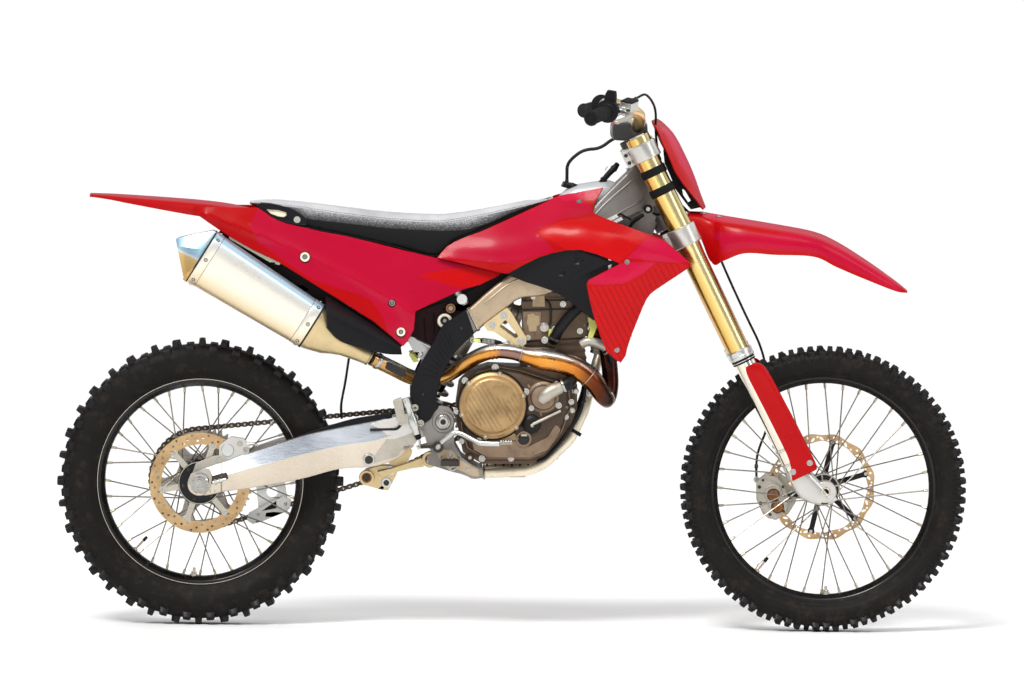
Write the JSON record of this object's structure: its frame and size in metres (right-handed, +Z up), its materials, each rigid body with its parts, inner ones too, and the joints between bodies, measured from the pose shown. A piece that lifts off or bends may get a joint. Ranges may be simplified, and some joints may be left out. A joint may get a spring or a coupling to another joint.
{
  "type": "motocross bike",
  "caption": "Off-road competition motorcycle with long-travel fork, knobbly tyres, high mudguards and a side silencer; it steers and both wheels roll.",
  "frame": {"origin": "top of the seat on the centre plane, at the rider's place", "axes": "+X to the front of the bike, +Y to the rider's left, +Z up"},
  "size_m": [2.18, 0.8278, 1.3016],
  "materials": {
    "bar_gold": "anodised",
    "black_plastic": "satin",
    "chain_steel": "oiled",
    "cover_bronze": "satin",
    "disc_steel": "ground",
    "engine_dark": "cast",
    "foam_black": "matte",
    "fork_gold": "anodised",
    "fork_silver": "ground",
    "frame_grey": "cast",
    "grip_rubber": "matte",
    "hose_black": "matte",
    "hub_black": "anodised",
    "radiator_alloy": "plain",
    "red_plastic": "semi gloss",
    "rim_black": "satin anodised",
    "seat_cover": "gripper",
    "shock_steel": "satin",
    "silencer_alloy": "brushed",
    "silver_alloy": "satin",
    "spoke_steel": "bright",
    "sprocket_alloy": "plain",
    "steel_bolt": "zinc",
    "steel_peg": "cast",
    "tank_silver": "satin",
    "titanium_heat": "heat tinted",
    "tyre_rubber": "matte",
    "white_plastic": "satin"
  },
  "bodies": {
    "chassis": {"air_box": "black_plastic", "chain": "chain_steel", "chain_guide": "white_plastic", "cradle": "frame_grey", "crankcase": "engine_dark", "cylinder": "engine_dark", "cylinder_head": "engine_dark", "engine_covers": "cover_bronze", "exhaust_pipe": "titanium_heat", "foot_controls": "silver_alloy", "footpegs": "steel_peg", "frame": "frame_grey", "frame_guards": "black_plastic", "fuel_tank": "tank_silver", "radiator_shrouds": "red_plastic", "radiators": "radiator_alloy", "rear_axle": "steel_bolt", "rear_brake_caliper": "silver_alloy", "rear_mudguard": "red_plastic", "rear_subframe": "silver_alloy", "seat": "seat_cover", "shock_absorber": "shock_steel", "shock_linkage": "silver_alloy", "shroud_ducts": "black_plastic", "side_panels": "red_plastic", "silencer": "silencer_alloy", "swingarm": "silver_alloy", "swingarm_pivot_bolt": "steel_bolt", "tank_vent_hose": "hose_black"},
    "steering": {"bar_pad": "foam_black", "fork_guards": "red_plastic", "fork_legs": "fork_silver", "fork_outer_tubes": "fork_gold", "front_axle": "steel_bolt", "front_brake_caliper": "silver_alloy", "front_brake_hose": "hose_black", "front_mudguard": "red_plastic", "grips": "grip_rubber", "hand_levers": "silver_alloy", "handlebar": "bar_gold", "lower_clamp_and_stem": "silver_alloy", "number_plate": "red_plastic", "upper_clamp": "silver_alloy"},
    "front_wheel": {"front_disc": "disc_steel", "front_hub": "silver_alloy", "front_rim": "rim_black", "front_spokes": "spoke_steel", "front_tyre": "tyre_rubber"},
    "rear_wheel": {"rear_disc": "disc_steel", "rear_hub": "hub_black", "rear_rim": "rim_black", "rear_spokes": "spoke_steel", "rear_sprocket": "sprocket_alloy", "rear_tyre": "tyre_rubber"}
  },
  "joints": [
    {"name": "steering", "type": "hinge", "parent": "chassis", "child": "steering", "pos_m": [0.89617, 0, -0.67114], "axis": [-0.4446, 0, 0.8957], "range_deg": [-42, 42]},
    {"name": "front_wheel_spin", "type": "hinge", "parent": "steering", "child": "front_wheel", "pos_m": [0.95171, 0, -0.64357], "axis": [0, 1, 0], "continuous": true},
    {"name": "rear_wheel_spin", "type": "hinge", "parent": "chassis", "child": "rear_wheel", "pos_m": [-0.54229, 0, -0.64357], "axis": [0, 1, 0], "continuous": true}
  ]
}
